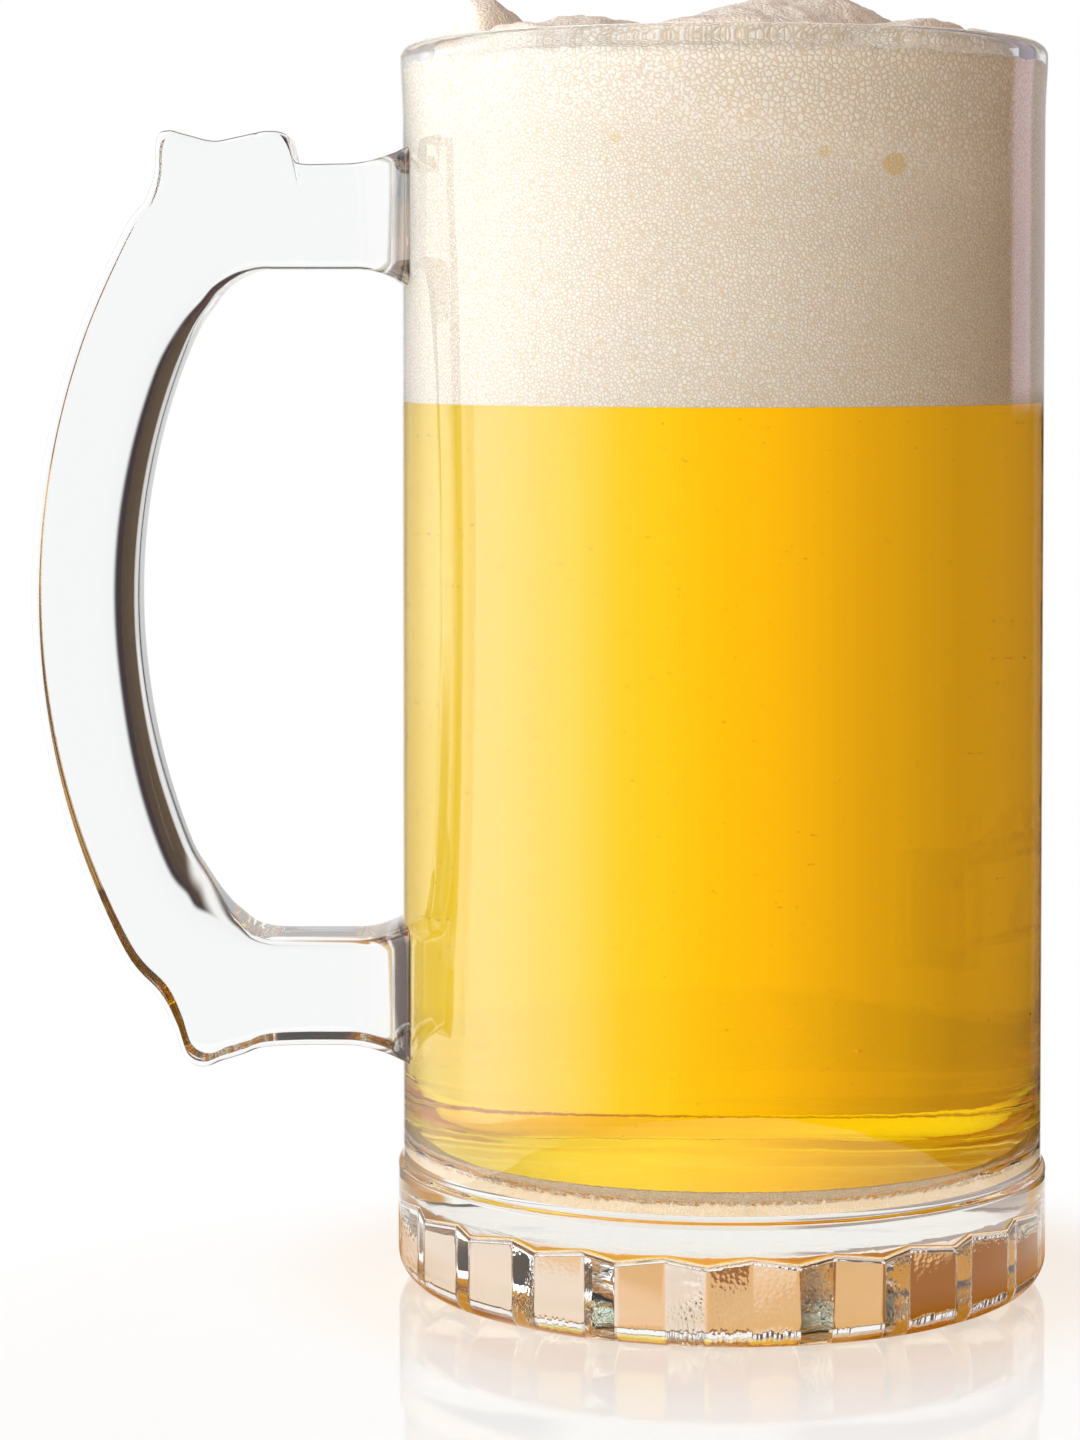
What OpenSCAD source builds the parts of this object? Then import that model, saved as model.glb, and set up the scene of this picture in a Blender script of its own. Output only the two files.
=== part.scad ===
// A filled half-litre beer mug: a glass body with a fluted recess under its thick base, a glass handle
// fused to its wall, the beer inside it and the head of foam on top.
// The mug stands on the XY plane with the cup's axis on Z, and its handle points towards -X.

/* [Body] */
// Outer diameter of the straight wall
body_d = 80; // [64:0.5:110]
// Height from the table to the lip
body_h = 154.3; // [125:0.1:200]
// Thickness of the wall
wall_t = 3.3; // [2:0.1:4.5]
// How far the rounded lip stands out past the wall
lip_out = 0.3; // [0.1:0.1:0.8]
// Thickness of the floor over the middle of the recess
floor_t = 5; // [3.5:0.5:9]
// Radius of the corner between the floor and the wall inside the cup
floor_corner_r = 4; // [2:0.5:8]

/* [Base] */
// How far the thick base stands out past the wall
base_out = 0.6; // [0.2:0.1:2]
// Height of the thick base
base_h = 15.5; // [11:0.5:20]
// Radius of the base's bottom outer edge
base_edge_r = 4; // [2:0.5:5]
// Radius of the base's upper outer edge
base_shoulder_r = 1; // [0.5:0.1:2]
// Width of the glass between the outside of the base and the tips of the flutes
foot_ring_w = 6.1; // [5.5:0.1:10]
// Number of flutes round the recess
flute_count = 21; // [12:1:30]
// Depth of each flute, from its tip to the ridge beside it
flute_depth = 3; // [1.5:0.1:5]
// Height of the recess at the tips of the flutes
recess_h = 9; // [6:0.5:12]
// How much higher the recess is at the ridges between the flutes
ridge_rise = 1.2; // [0.5:0.1:2.5]
// How much higher again the recess is on the axis
dome_rise = 0.6; // [0.4:0.1:2]

/* [Handle] */
// How far the grip stands out from the wall
handle_reach = 45.7; // [38:0.1:60]
// Width of the handle from front to back
handle_w = 15; // [11:0.5:22]
// Thickness of the grip, seen from the side
grip_t = 13; // [10:0.1:17]
// Height of each arm, seen from the side
arm_t = 13; // [10:0.5:17]
// Radius of the grip's outer curve
grip_r = 95; // [79:1:150]
// How far the grip's furthest point lies above the middle of the finger gap
grip_lift = 1; // [0:0.1:4]
// Height of the heel above the table
heel_z = 27.4; // [22:0.1:36]
// How far the heel hangs below the lower arm
heel_drop = 2.7; // [1:0.1:5]
// Depth of the thumb rest's top below the lip
thumb_drop = 10.9; // [7:0.1:20]
// How far the thumb rest rises above the upper arm
thumb_rise = 4; // [1:0.1:6]
// Radius of the handle's outer edges
outer_edge_r = 1.2; // [0.5:0.1:3]
// Radius of the edges on the finger side
finger_edge_r = 4.5; // [1.5:0.1:4.9]
// How far each foot spreads where it meets the wall
foot_flare = 2; // [0.5:0.1:4]
// Length of the arm over which the foot spreads
foot_l = 7; // [3:0.5:10]

/* [Drink] */
// Depth of the foam below the lip
foam_depth = 44.3; // [20:0.1:60]
// How far the foam stands above the lip
foam_rise = 5.7; // [2:0.1:10]

/* [Hidden] */
$fn = 128;

// How far a cut runs past the surface it cuts
overrun = 1;

body_r = body_d / 2;
inner_r = body_r - wall_t;
lip_d = wall_t + lip_out;
wall_top = body_h - lip_d / 2;
base_r = body_r + base_out;
tip_r = base_r - foot_ring_w;
ridge_r = tip_r - flute_depth;
scallop_slope = ridge_rise / flute_depth;
dome_z = recess_h + (flute_depth + overrun) * scallop_slope + dome_rise;
floor_z = dome_z + floor_t;
beer_z = body_h - foam_depth;

// The tip of one flute points this far round from the front, towards +X
flute_turn = 12;

// Mounds of foam above the lip, as shares: place in X and Y and size of the cup's radius, then height
mound_shares = [
    [0, 0, 1.05, 0.55],
    [-0.62, -0.12, 0.42, 0.94],
    [-0.36, 0.40, 0.60, 0.84],
    [0.22, -0.04, 0.66, 1],
    [0.42, 0.40, 0.56, 0.88],
    [0.66, -0.24, 0.40, 0.72],
    [-0.06, -0.58, 0.46, 0.76]
];

arm_top = body_h - thumb_drop - thumb_rise;
gap_top = arm_top - arm_t;
arm_under = heel_z + heel_drop;
gap_low = arm_under + arm_t;
grip_z = (gap_top + gap_low) / 2 + grip_lift;
grip_x = grip_r - body_r - handle_reach;
palm_r = grip_r - grip_t;

// Stations of the upper arm from the wall outwards. Each has a point of the outer edge, as shares of
// the arm's length and the thumb rest's rise, then one of the finger side, as shares of its length and
// of the arm's height.
upper_arm_shares = [
    [0, 0, 0, 0],
    [0.10, 0, 0.10, 0],
    [0.26, 0, 0.27, 0],
    [0.42, 0, 0.42, 0],
    [0.46, 0.25, 0.47, 0],
    [0.48, 0.88, 0.51, 0],
    [0.57, 1, 0.57, 0],
    [0.68, 0.84, 0.64, 0],
    [0.79, 0.70, 0.71, 0],
    [0.90, 0.88, 0.78, 0],
    [0.98, 1.02, 0.85, -0.02],
    [1.03, 0.80, 0.93, -0.08],
    [1.04, -0.20, 1.01, -0.18],
    [1.08, -1.10, 1.07, -0.31]
];

// Stations of the lower arm from the grip to the wall, given in the same way, with the heel's drop
// in place of the thumb rest's rise.
lower_arm_shares = [
    [1.09, 2.20, 1.18, 0.61],
    [1.02, 0.78, 1.06, 0.31],
    [0.97, -0.60, 0.98, 0.17],
    [0.89, -1, 0.90, 0.06],
    [0.80, -0.70, 0.80, 0.01],
    [0.71, -0.42, 0.70, 0],
    [0.62, -0.10, 0.60, 0],
    [0.46, 0, 0.45, 0],
    [0.26, 0, 0.27, 0],
    [0.10, 0, 0.10, 0],
    [0, 0, 0, 0]
];

// Where the plain stretch of the grip's outer edge and finger side begins and ends, below the top of
// the arm it comes from and above the underside of the other, as shares of the arm's height
grip_outer_shares = [0.62, 0.85];
grip_palm_shares = [0.62, 0.90];
// Number of stations along that stretch
grip_stations = 8;
// Rings of the surface between two stations, and points round each corner of a ring
steps = 3;
corner_steps = 4;

// How far the arms run into the wall before the wall's curve trims them
foot_sink = body_r - sqrt(body_r * body_r - pow(handle_w / 2 + foot_flare, 2)) + overrun;

// X of the curve of radius r round the grip's centre, at height z
function curve_x(r, z) = grip_x - sqrt(r * r - pow(z - grip_z, 2));

// The angle at which that curve passes height z
function curve_angle(r, z) = asin((z - grip_z) / r);

// A point on that curve
function curve_point(r, angle) = [grip_x - r * cos(angle), grip_z + r * sin(angle)];

// A point a share of the way from the wall to the curve of radius r, on the line at height z
function arm_point(share, r, z, rise) = [-body_r + share * (curve_x(r, z) + body_r), z + rise];

function lerp(a, b, share) = a + share * (b - a);

// Catmull-Rom curve between the second and third of four points
function spline(p, t) = (
    2 * p[1] + t * (p[2] - p[0])
    + t * t * (2 * p[0] - 5 * p[1] + 4 * p[2] - p[3])
    + t * t * t * (3 * p[1] - p[0] - 3 * p[2] + p[3])
) / 2;

// Each station is [outer X, outer Z, finger side X, finger side Z]
function station(outer, palm) = [outer.x, outer.y, palm.x, palm.y];

upper_stations = [for (s = upper_arm_shares) station(
    arm_point(s[0], grip_r, arm_top, s[1] * thumb_rise),
    arm_point(s[2], palm_r, gap_top, s[3] * arm_t)
)];

grip_outer_angles = [
    curve_angle(grip_r, arm_top - grip_outer_shares[0] * arm_t),
    curve_angle(grip_r, arm_under + grip_outer_shares[1] * arm_t)
];
grip_palm_angles = [
    curve_angle(palm_r, gap_top - grip_palm_shares[0] * arm_t),
    curve_angle(palm_r, gap_low + grip_palm_shares[1] * arm_t)
];
grip_run = [for (i = [0 : grip_stations - 1]) let (share = i / (grip_stations - 1)) station(
    curve_point(grip_r, lerp(grip_outer_angles[0], grip_outer_angles[1], share)),
    curve_point(palm_r, lerp(grip_palm_angles[0], grip_palm_angles[1], share))
)];

lower_stations = [for (s = lower_arm_shares) station(
    arm_point(s[0], grip_r, arm_under, s[1] * heel_drop),
    arm_point(s[2], palm_r, gap_low, s[3] * arm_t)
)];

// The feet run straight on into the wall
upper_sunk = upper_stations[0] + [foot_sink, 0, foot_sink, 0];
lower_sunk = lower_stations[len(lower_stations) - 1] + [foot_sink, 0, foot_sink, 0];
stations = concat([upper_sunk], upper_stations, grip_run, lower_stations, [lower_sunk]);
last = len(stations) - 1;

// The stations, smoothed
rails = [for (i = [0 : last], k = [0 : i < last ? steps - 1 : 0]) let (
    p = [for (j = [i - 1 : i + 2]) stations[max(0, min(last, j))]]
) spline(p, k / steps)];

// How far the foot spreads at a distance from the wall
function spread(distance) = foot_flare * pow(1 - max(0, min(1, distance / foot_l)), 2);

// One corner of a ring, a quarter circle of radius r whose centre is at [across, y]
function corner(across, y, r, start) = [
    for (k = [0 : corner_steps]) let (a = start + k * 90 / corner_steps)
        [across + r * cos(a), y + r * sin(a)]
];

// A ring of the handle: a rectangle across the arm or grip, with small outer and large inner roundings
function ring(rail) = let (
    flare = spread(-rail[0] - body_r),
    outer = [rail[0], rail[1]],
    palm = [rail[2], rail[3]],
    along = (palm - outer) / norm(palm - outer),
    depth = norm(palm - outer) + 2 * flare,
    half_w = handle_w / 2 + flare,
    start = outer - flare * along,
    flat = concat(
        corner(depth - finger_edge_r, half_w - finger_edge_r, finger_edge_r, 0),
        corner(outer_edge_r, half_w - outer_edge_r, outer_edge_r, 90),
        corner(outer_edge_r, outer_edge_r - half_w, outer_edge_r, 180),
        corner(depth - finger_edge_r, finger_edge_r - half_w, finger_edge_r, 270)
    )
) [for (q = flat) [start.x + q.x * along.x, q.y, start.y + q.x * along.y]];

// Half sections of the body, to be turned round the axis

module round_block_half(r, h, low_r, high_r) {
    square([r - max(low_r, high_r), h]);
    translate([0, low_r]) square([r, h - low_r - high_r]);
    translate([0, low_r]) square([r - high_r, h - low_r]);
    translate([r - low_r, low_r]) circle(r = low_r);
    translate([r - high_r, h - high_r]) circle(r = high_r);
}

module cup_half() {
    translate([0, floor_z]) square([inner_r - floor_corner_r, body_h - floor_z + overrun]);
    translate([0, floor_z + floor_corner_r]) {
        square([inner_r, body_h - floor_z - floor_corner_r + overrun]);
    }
    translate([inner_r - floor_corner_r, floor_z + floor_corner_r]) circle(r = floor_corner_r);
}

// The space under the recess's ceiling, which slopes up past the flutes and then more gently to the axis
module recess_half() {
    polygon([
        [0, -overrun],
        [tip_r + overrun, -overrun],
        [tip_r + overrun, recess_h - overrun * scallop_slope],
        [ridge_r - overrun, recess_h + (flute_depth + overrun) * scallop_slope],
        [0, dome_z]
    ]);
}

module flutes() {
    pitch = 360 / flute_count;
    rotate(flute_turn - 90) translate([0, 0, -2 * overrun]) {
        linear_extrude(dome_z + 3 * overrun) polygon([
            for (i = [0 : flute_count - 1], side = [0, 1]) let (
                r = side == 0 ? tip_r : ridge_r,
                a = pitch * (i + side / 2)
            ) r * [cos(a), sin(a)]
        ]);
    }
}

module glass_body() {
    color([0.86, 0.93, 0.94, 0.4]) difference() {
        rotate_extrude() {
            difference() {
                union() {
                    square([body_r, wall_top]);
                    round_block_half(base_r, base_h, base_edge_r, base_shoulder_r);
                }
                cup_half();
            }
            translate([inner_r + lip_d / 2, wall_top]) circle(d = lip_d);
        }
        intersection() {
            rotate_extrude() recess_half();
            flutes();
        }
    }
}

module handle() {
    rings = [for (rail = rails) ring(rail)];
    n = len(rings[0]);
    ends = len(rings) - 1;
    sides = [
        for (i = [0 : ends - 1], j = [0 : n - 1]) let (
            a = i * n + j,
            b = i * n + (j + 1) % n
        ) each [[a, b, a + n], [b, b + n, a + n]]
    ];
    caps = [[for (j = [n - 1 : -1 : 0]) j], [for (j = [0 : n - 1]) ends * n + j]];
    color([0.86, 0.93, 0.94, 0.4]) difference() {
        polyhedron(points = [for (r = rings) each r], faces = concat(sides, caps));
        cylinder(h = body_h, r = body_r);
    }
}

module beer() {
    color([0.97, 0.74, 0.05, 0.9]) rotate_extrude() intersection() {
        cup_half();
        square([body_r, beer_z]);
    }
}

// A mound of foam: the top of a ball that stands out of the level foam inside the lip
module mound(share) {
    base = share[2] * inner_r;
    rise = share[3] * (foam_rise + lip_d / 2);
    ball_r = (base * base + rise * rise) / (2 * rise);
    translate([share.x * inner_r, share.y * inner_r, wall_top + rise - ball_r]) sphere(r = ball_r);
}

module foam_head() {
    color([0.96, 0.93, 0.86]) {
        translate([0, 0, beer_z]) cylinder(h = wall_top - beer_z, r = inner_r);
        intersection() {
            translate([0, 0, beer_z]) cylinder(h = foam_depth + foam_rise + overrun, r = inner_r);
            union() {
                for (share = mound_shares) mound(share);
            }
        }
    }
}

glass_body();
handle();
beer();
foam_head();
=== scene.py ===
import math
import random
from collections import namedtuple

import bmesh
import bpy
import numpy as np
from mathutils import Euler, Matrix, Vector, noise


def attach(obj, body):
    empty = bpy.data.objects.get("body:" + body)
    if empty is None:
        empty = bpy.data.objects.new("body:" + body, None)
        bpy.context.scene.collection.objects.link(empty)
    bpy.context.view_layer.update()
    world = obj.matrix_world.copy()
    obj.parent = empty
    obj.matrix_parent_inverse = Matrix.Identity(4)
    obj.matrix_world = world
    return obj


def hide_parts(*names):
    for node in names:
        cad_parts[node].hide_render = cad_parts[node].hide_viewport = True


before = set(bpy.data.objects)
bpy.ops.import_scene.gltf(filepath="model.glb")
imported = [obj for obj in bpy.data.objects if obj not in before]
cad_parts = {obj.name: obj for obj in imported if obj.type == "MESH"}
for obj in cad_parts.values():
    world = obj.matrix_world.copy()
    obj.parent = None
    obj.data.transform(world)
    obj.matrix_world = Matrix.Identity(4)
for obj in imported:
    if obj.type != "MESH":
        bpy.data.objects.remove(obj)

scene = bpy.context.scene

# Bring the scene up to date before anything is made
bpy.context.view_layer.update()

MM = 0.001
ROOT = "root"

# Sizes of the mug in millimetres, mostly as in the construction file
BODY_R, BODY_H, WALL_T = 40.0, 154.3, 3.3
INNER_R = BODY_R - WALL_T
LIP_D = WALL_T + 0.3
WALL_TOP = BODY_H - LIP_D / 2
# The wall begins to lean out to the lip at this height, and has come this far out at these heights
LIP_LEAN_Z = 145.5
LIP_LEAN = [(0.06, 147.5), (0.17, 149.5), (0.27, 151.2)]
# The cup's floor is lower, more domed and rounder than in the construction file, as the photo shows it
FLOOR_Z, FLOOR_DOME, FLOOR_CORNER = 15.2, 1.1, 7.5
FLOOR_RADII = [1, 5, 12, 20, 24, 27]  # where its rings lie
BASE_R, BASE_H, BASE_EDGE, BASE_SHOULDER = 40.6, 15.5, 4.0, 1.0
# The shoulder's last points, past the wall's radius and the base's top
SHOULDER_END = [(0.05, -0.02), (0.015, 0.25), (0.0, 0.8)]
# The fluted recess underneath; its ceiling slopes past the flutes, then more gently to the axis
TIP_R, RIDGE_R, FLUTES, FLUTE_TURN = 34.5, 31.5, 21, 12.0
RECESS_H, DOME_Z, CEILING_SLOPE, RECESS_EDGE = 9.3, 10.6, 0.17, 0.7
FOOT_GAP = 0.25  # from the recess's edge to the ring that the mug stands on
TIP_ROUND = 0.55  # half width of the rounding at each tip and ridge, in degrees
# Where the rings lie on the ceiling, from the axis out, and on the flutes' walls, from the top down
CEILING_SHARES = (0.03, 0.15, 0.3, 0.45, 0.6, 0.72, 0.82, 0.89, 0.94, 0.965)
FLUTE_WALL_SHARES = (0.3, 0.6, 0.85)
BEER_Z = 110.0
FOAM_TOP = 160.0
EDGE_STEP = 0.01  # rings this close to an edge keep its shading sharp

# Mesh helpers


def make_mesh(name, points, faces):
    """A smooth object in metres from points in millimetres, with its faces turned outwards."""
    points = np.asarray(points, float)
    corners = np.array([f[:3] for f in faces] + [(f[0], f[2], f[3]) for f in faces if len(f) > 3])
    a, b, c = (points[corners[:, i]] for i in range(3))
    if np.einsum("ij,ij->", a, np.cross(b, c)) < 0:
        faces = [tuple(reversed(f)) for f in faces]
    mesh = bpy.data.meshes.new(name)
    mesh.from_pydata([tuple(p) for p in points * MM], [], faces)
    mesh.update()
    mesh.polygons.foreach_set("use_smooth", [True] * len(mesh.polygons))
    ob = bpy.data.objects.new(name, mesh)
    scene.collection.objects.link(ob)
    return ob


def rings_to_faces(rings):
    """Points and faces of a tube through rings of equal length; a ring of one point closes an end."""
    points, faces, starts = [], [], []
    for ring in rings:
        starts.append(len(points))
        points.extend(ring)
    for a, b in zip(range(len(rings) - 1), range(1, len(rings))):
        na, nb = len(rings[a]), len(rings[b])
        sa, sb = starts[a], starts[b]
        n = max(na, nb)
        for j in range(n):
            k = (j + 1) % n
            if na == 1:
                faces.append((sa, sb + k, sb + j))
            elif nb == 1:
                faces.append((sa + j, sa + k, sb))
            else:
                faces.append((sa + j, sa + k, sb + k, sb + j))
    return points, faces


def tube(name, rings):
    return make_mesh(name, *rings_to_faces(rings))


def direction(angle):
    """Cosine and sine of an angle in degrees."""
    return math.cos(math.radians(angle)), math.sin(math.radians(angle))


def arc(cx, cz, r, start, end, n):
    """Points of an arc in the half section, from one angle to another in degrees."""
    return [(cx + r * direction(a)[0], cz + r * direction(a)[1]) for a in np.linspace(start, end, n)]


def line(a, b, n):
    """Points between a and b, without the first."""
    return [(a[0] + (b[0] - a[0]) * i / n, a[1] + (b[1] - a[1]) * i / n) for i in range(1, n + 1)]


def circle(turns):
    angles = np.linspace(0, 2 * math.pi, turns, endpoint=False)
    return np.cos(angles), np.sin(angles)


def turned(profile, turns):
    """Rings round the axis from a profile of radius and height; radius zero closes an end."""
    c, s = circle(turns)
    return [
        np.array([[0, 0, z]]) if r == 0 else np.stack([r * c, r * s, np.full(turns, z)], 1)
        for r, z in profile
    ]


def fade(value, start, end):
    """Smooth share of the way from start to end, from 0 to 1."""
    t = max(0.0, min(1.0, (value - start) / (end - start)))
    return t * t * (3 - 2 * t)


def floor_height(r):
    """Height of the cup's floor, domed a little inside its rounded corner."""
    return FLOOR_Z + FLOOR_DOME * (1 - (r / (INNER_R - FLOOR_CORNER)) ** 2)


# Glass body

half = 180 / FLUTES
tip = np.array([TIP_R, 0.0])
ridge = RIDGE_R * np.array(direction(half))


def facet_radius(angle):
    """Radius at which the line from a tip to the ridge beside it passes an angle."""
    c, s = direction(angle)
    e = ridge - tip
    return (tip[0] * e[1] - tip[1] * e[0]) / (c * e[1] - s * e[0])


def recess_radius(a):
    """Radius of the recess's wall at an angle from a tip, with tips and ridges rounded."""
    if a < TIP_ROUND:
        a = (a * a + TIP_ROUND * TIP_ROUND) / (2 * TIP_ROUND)
    elif a > half - TIP_ROUND:
        b = half - a
        a = half - (b * b + TIP_ROUND * TIP_ROUND) / (2 * TIP_ROUND)
    return facet_radius(a)


def recess_plan():
    """Angles round the axis, closer together at tips and ridges, and the recess's radius at each."""
    beside = [0.28, TIP_ROUND, 0.75, 2.2]
    first = [0] + beside + [half / 2] + [half - a for a in reversed(beside)]
    plan = []
    for i in range(FLUTES):
        centre = FLUTE_TURN - 90 + i * 2 * half
        plan += [(centre + a, recess_radius(a)) for a in first + [half]]
        plan += [(centre + 2 * half - a, recess_radius(a)) for a in reversed(first[1:])]
    return plan


plan = recess_plan()
plan_cos, plan_sin = np.array([direction(a) for a, r in plan]).T
plan_r = np.array([r for a, r in plan])


def ceiling(r):
    """Height of the recess's ceiling."""
    kink = RIDGE_R - 1
    outer = RECESS_H + (TIP_R - r) * CEILING_SLOPE
    kink_z = RECESS_H + (TIP_R - kink) * CEILING_SLOPE
    return np.where(r > kink, outer, kink_z + (1 - r / kink) * (DOME_Z - kink_z))


def plan_ring(radii, heights):
    radii = np.broadcast_to(radii, plan_cos.shape)
    heights = np.broadcast_to(heights, plan_cos.shape)
    return np.stack([radii * plan_cos, radii * plan_sin, heights], 1)


def recess_rings():
    """From the ceiling's middle, out over the rounded edge above the flutes and down to the foot."""
    rings = [np.array([[0, 0, DOME_Z]])]
    for share in CEILING_SHARES:
        rings.append(plan_ring(plan_r * share, ceiling(plan_r * share)))
    for a in np.linspace(0, 90, 6):
        c, s = direction(a)
        r = plan_r - RECESS_EDGE * (1 - s)
        rings.append(plan_ring(r, ceiling(r) - RECESS_EDGE * (1 - c)))
    for share in FLUTE_WALL_SHARES:
        rings.append(plan_ring(plan_r, (ceiling(plan_r) - RECESS_EDGE) * (1 - share) + RECESS_EDGE * share))
    for a in np.linspace(0, 90, 6):
        c, s = direction(a)
        rings.append(plan_ring(plan_r + RECESS_EDGE * (1 - c), RECESS_EDGE * (1 - s)))
    return rings


def body_profile():
    """From the foot up the outside, over the lip and down into the cup."""
    profile = [(TIP_R + RECESS_EDGE + FOOT_GAP, 0.0)]
    profile += arc(BASE_R - BASE_EDGE, BASE_EDGE, BASE_EDGE, -90, 0, 16)
    profile += line((BASE_R, BASE_EDGE), (BASE_R, BASE_H - BASE_SHOULDER), 5)
    profile += arc(BASE_R - BASE_SHOULDER, BASE_H - BASE_SHOULDER, BASE_SHOULDER, 8, 58, 6)
    profile += [(BODY_R + out, BASE_H + up) for out, up in SHOULDER_END]
    profile += line(profile[-1], (BODY_R, LIP_LEAN_Z), 22)
    profile += [(BODY_R + out, z) for out, z in LIP_LEAN]
    profile += arc(INNER_R + LIP_D / 2, WALL_TOP, LIP_D / 2, 0, 180, 17)
    profile += line((INNER_R, WALL_TOP), (INNER_R, FLOOR_Z + FLOOR_CORNER), 24)
    profile += arc(INNER_R - FLOOR_CORNER, FLOOR_Z + FLOOR_CORNER, FLOOR_CORNER, 0, -90, 12)[1:]
    return profile + [(r, floor_height(r)) for r in reversed(FLOOR_RADII)]


rings = recess_rings() + [plan_ring(r, z) for r, z in body_profile()]
glass_body = tube("mug_body", rings + [np.array([[0, 0, floor_height(0)]])])

# Handle

HANDLE_REACH, HANDLE_W, GRIP_T, ARM_T = 45.7, 15.0, 13.0, 13.0
GRIP_R, GRIP_LIFT, HEEL_Z, HEEL_DROP = 95.0, 1.0, 27.4, 2.7
THUMB_DROP, THUMB_RISE = 10.9, 4.0
FOOT_FLARE, FOOT_L = 2.0, 7.0
ARM_TOP = BODY_H - THUMB_DROP - THUMB_RISE
GAP_TOP = ARM_TOP - ARM_T
ARM_UNDER = HEEL_Z + HEEL_DROP
GAP_LOW = ARM_UNDER + ARM_T
GRIP_Z = (GAP_TOP + GAP_LOW) / 2 + GRIP_LIFT
GRIP_X = GRIP_R - BODY_R - HANDLE_REACH
PALM_R = GRIP_R - GRIP_T
# Stations along each arm, as shares of its outer side's reach and rise, then of its finger side's
UPPER_SHARES = [
    (0, 0, 0, 0), (0.10, 0, 0.10, 0), (0.26, 0, 0.27, 0), (0.42, 0, 0.42, 0),
    (0.46, 0.25, 0.47, 0), (0.48, 0.88, 0.51, 0), (0.57, 1, 0.57, 0), (0.68, 0.84, 0.64, 0),
    (0.79, 0.70, 0.71, 0), (0.90, 0.88, 0.78, 0), (0.98, 1.02, 0.85, -0.02),
    (1.03, 0.80, 0.93, -0.08), (1.04, -0.20, 1.01, -0.18), (1.08, -1.10, 1.07, -0.31),
]
LOWER_SHARES = [
    (1.09, 2.20, 1.18, 0.61), (1.02, 0.78, 1.06, 0.31), (0.97, -0.60, 0.98, 0.17),
    (0.89, -1, 0.90, 0.06), (0.80, -0.70, 0.80, 0.01), (0.71, -0.42, 0.70, 0),
    (0.62, -0.10, 0.60, 0), (0.46, 0, 0.45, 0), (0.26, 0, 0.27, 0), (0.10, 0, 0.10, 0), (0, 0, 0, 0),
]
# Where the grip's curves start and end, as shares of the arms' thickness
OUTER_END_SHARES, PALM_END_SHARES = (0.62, 0.85), (0.62, 0.90)
GRIP_STATIONS, STEPS, CORNER_STEPS, FLAT_STEPS = 8, 7, 8, 5
# Edge radii: all along the outer side, at the thumb rest's end, and on the arms' and grip's finger side
OUTER_EDGE, THUMB_EDGE, ARM_EDGE, FINGER_EDGE, LOW_EDGE = 1.1, 3.6, 1.6, 4.5, 6.3
# The finger side's edges grow rounder upwards over the first heights, downwards over the next, and
# roundest of all downwards over the last
ROUND_UP_Z, ROUND_DOWN_Z, ROUNDEST_Z = (42, 51), (126, 113), (78, 52)
THUMB_OUT = (10, 18)  # where the thumb rest's end lies, out from the wall
SINK = 0.4  # how far each foot runs into the wall, so that no gap shows in the glass


def curve_x(r, z):
    return GRIP_X - math.sqrt(r * r - (z - GRIP_Z) ** 2)


def curve_angles(r, upper, lower):
    """Angles of the grip's curve at two heights."""
    return [math.asin((z - GRIP_Z) / r) for z in (upper, lower)]


def curve_point(r, angles, share):
    a = angles[0] + share * (angles[1] - angles[0])
    return [GRIP_X - r * math.cos(a), GRIP_Z + r * math.sin(a)]


def arm_point(share, r, z, rise):
    return [-BODY_R + share * (curve_x(r, z) + BODY_R), z + rise]


def smooth_between(p, t):
    """A point on the curve through four stations, between the second and the third."""
    return (
        2 * p[1] + t * (p[2] - p[0]) + t * t * (2 * p[0] - 5 * p[1] + 4 * p[2] - p[3])
        + t ** 3 * (3 * p[1] - p[0] - 3 * p[2] + p[3])
    ) / 2


def handle_rails():
    """Outer and finger-side points along the handle, from the upper foot to the lower."""
    upper = [
        arm_point(a, GRIP_R, ARM_TOP, b * THUMB_RISE) + arm_point(c, PALM_R, GAP_TOP, d * ARM_T)
        for a, b, c, d in UPPER_SHARES
    ]
    lower = [
        arm_point(a, GRIP_R, ARM_UNDER, b * HEEL_DROP) + arm_point(c, PALM_R, GAP_LOW, d * ARM_T)
        for a, b, c, d in LOWER_SHARES
    ]
    high, low = OUTER_END_SHARES
    outer = curve_angles(GRIP_R, ARM_TOP - high * ARM_T, ARM_UNDER + low * ARM_T)
    high, low = PALM_END_SHARES
    palm = curve_angles(PALM_R, GAP_TOP - high * ARM_T, GAP_LOW + low * ARM_T)
    shares = [i / (GRIP_STATIONS - 1) for i in range(GRIP_STATIONS)]
    grip = [curve_point(GRIP_R, outer, t) + curve_point(PALM_R, palm, t) for t in shares]
    stations = np.array(upper + grip + lower)
    last = len(stations) - 1
    rails = []
    for i in range(last):
        near = [stations[max(0, min(last, j))] for j in range(i - 1, i + 3)]
        rails += [smooth_between(near, k / STEPS) for k in range(STEPS)]
    return rails + [stations[-1]]


def finger_edge(z):
    """Radius of the finger side's edges at a height."""
    round_share = min(fade(z, *ROUND_UP_Z), fade(z, *ROUND_DOWN_Z))
    grip_edge = FINGER_EDGE + (LOW_EDGE - FINGER_EDGE) * fade(z, *ROUNDEST_Z)
    return ARM_EDGE + (grip_edge - ARM_EDGE) * round_share


def outer_edge(x, z):
    """Radius of the outer side's edges, rounder where the thumb rest ends."""
    middle = THUMB_RISE / 2
    on_end = THUMB_OUT[0] < -x - BODY_R < THUMB_OUT[1]
    share = max(0.0, 1 - abs(z - ARM_TOP - middle) / middle) if on_end else 0.0
    return OUTER_EDGE + (THUMB_EDGE - OUTER_EDGE) * min(1.0, 2 * share)


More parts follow.
